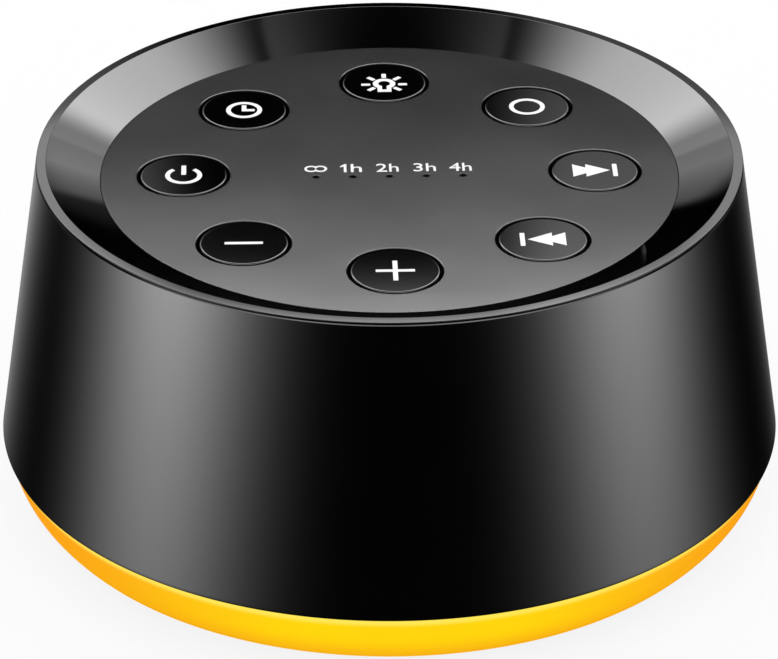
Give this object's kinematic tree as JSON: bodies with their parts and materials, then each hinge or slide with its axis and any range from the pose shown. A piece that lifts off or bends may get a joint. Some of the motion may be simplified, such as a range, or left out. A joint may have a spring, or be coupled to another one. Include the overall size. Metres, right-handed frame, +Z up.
{
  "type": "white noise sound machine",
  "caption": "Round white noise sound machine with a dished top of push keys, a downward speaker, an amber night-light ring and a rear power socket.",
  "frame": {"origin": "middle of the base, on the plane that the rubber feet stand on", "axes": "+Z up through the middle of the round body; -Y towards the volume-up key at the front; +Y towards the rear power socket; +X towards the next key"},
  "size_m": [0.11, 0.11, 0.0523],
  "materials": {
    "gloss_black": "high gloss moulded",
    "satin_black": "fine satin",
    "key_black": "high gloss with white printed symbols",
    "print_white": "white pad print",
    "amber_diffuser": "translucent amber, lit from inside",
    "matte_black": "fine moulded texture",
    "foot_rubber": "matt",
    "screw_steel": "zinc plated",
    "screw_black": "black zinc",
    "circuit_board": "green solder mask",
    "circuit_board_white": "white solder mask",
    "switch_plastic": "moulded",
    "plunger_plastic": "moulded",
    "led_white": "moulded lamp",
    "clear_plastic": "clear moulded",
    "connector_white": "moulded",
    "ribbon_white": "flat cable",
    "chip_black": "moulded epoxy",
    "capacitor_sleeve": "sleeved can",
    "ferrite_grey": "ferrite",
    "ceramic_tan": "fired",
    "socket_steel": "plated",
    "pressed_steel": "plated",
    "copper_wire": "enamelled copper",
    "cone_paper": "pressed paper",
    "spider_cloth": "resin treated cloth",
    "surround_rubber": "soft",
    "foam_black": "closed-cell foam",
    "wire_sleeve": "PVC sleeve",
    "black_cloth": "fine woven",
    "reflector_white": "moulded"
  },
  "bodies": {
    "root": {"outer_shell": "gloss_black", "top_bezel": "gloss_black", "control_plate": "satin_black", "switch_housings": "switch_plastic", "key_board": "circuit_board", "key_board_screws": "screw_steel", "indicator_leds": "led_white", "indicator_light_guide": "clear_plastic", "ribbon_connectors": "connector_white", "ribbon_cable": "ribbon_white", "bezel_screws": "screw_steel", "main_board": "circuit_board", "main_board_screws": "screw_steel", "sound_chip": "chip_black", "amplifier_chip": "chip_black", "memory_chip": "chip_black", "electrolytic_capacitors": "capacitor_sleeve", "power_inductor": "ferrite_grey", "small_components": "ceramic_tan", "power_socket_shell": "socket_steel", "power_socket_insulator": "chip_black", "speaker_basket": "pressed_steel", "speaker_magnet": "ferrite_grey", "speaker_top_plate": "pressed_steel", "speaker_pole_piece": "pressed_steel", "speaker_spider": "spider_cloth", "speaker_surround": "surround_rubber", "speaker_gasket": "foam_black", "speaker_terminals": "circuit_board", "tinsel_leads": "copper_wire", "speaker_screws": "screw_steel", "speaker_wires": "wire_sleeve", "grille_cloth": "black_cloth", "light_board": "circuit_board_white", "night_light_leds": "led_white", "light_reflector": "reflector_white", "light_ring": "amber_diffuser", "light_wires": "wire_sleeve", "base_cover": "matte_black", "base_screws": "screw_black", "rubber_feet": "foot_rubber"},
    "speaker_cone": {"speaker_cone": "cone_paper", "dust_cap": "cone_paper", "voice_coil": "copper_wire"},
    "key_light": {"key_light": "key_black", "switch_plunger_light": "plunger_plastic"},
    "key_mode": {"key_mode": "key_black", "switch_plunger_mode": "plunger_plastic"},
    "key_next": {"key_next": "key_black", "switch_plunger_next": "plunger_plastic"},
    "key_previous": {"key_previous": "key_black", "switch_plunger_previous": "plunger_plastic"},
    "key_volume_up": {"key_volume_up": "key_black", "switch_plunger_volume_up": "plunger_plastic"},
    "key_volume_down": {"key_volume_down": "key_black", "switch_plunger_volume_down": "plunger_plastic"},
    "key_power": {"key_power": "key_black", "switch_plunger_power": "plunger_plastic"},
    "key_timer": {"key_timer": "key_black", "switch_plunger_timer": "plunger_plastic"}
  },
  "joints": [
    {"name": "key_light_press", "type": "slide", "parent": "root", "child": "key_light", "axis": [0, 0, -1], "range_m": [0, 0.0005], "stiffness_N_per_m": 900},
    {"name": "key_mode_press", "type": "slide", "parent": "root", "child": "key_mode", "axis": [0, 0, -1], "range_m": [0, 0.0005], "stiffness_N_per_m": 900},
    {"name": "key_next_press", "type": "slide", "parent": "root", "child": "key_next", "axis": [0, 0, -1], "range_m": [0, 0.0005], "stiffness_N_per_m": 900},
    {"name": "key_previous_press", "type": "slide", "parent": "root", "child": "key_previous", "axis": [0, 0, -1], "range_m": [0, 0.0005], "stiffness_N_per_m": 900},
    {"name": "key_volume_up_press", "type": "slide", "parent": "root", "child": "key_volume_up", "axis": [0, 0, -1], "range_m": [0, 0.0005], "stiffness_N_per_m": 900},
    {"name": "key_volume_down_press", "type": "slide", "parent": "root", "child": "key_volume_down", "axis": [0, 0, -1], "range_m": [0, 0.0005], "stiffness_N_per_m": 900},
    {"name": "key_power_press", "type": "slide", "parent": "root", "child": "key_power", "axis": [0, 0, -1], "range_m": [0, 0.0005], "stiffness_N_per_m": 900},
    {"name": "key_timer_press", "type": "slide", "parent": "root", "child": "key_timer", "axis": [0, 0, -1], "range_m": [0, 0.0005], "stiffness_N_per_m": 900},
    {"name": "speaker_cone_travel", "type": "slide", "parent": "root", "child": "speaker_cone", "axis": [0, 0, 1], "range_m": [-0.001, 0.001], "stiffness_N_per_m": 1000, "deforming": ["speaker_surround", "speaker_spider", "tinsel_leads"]}
  ]
}
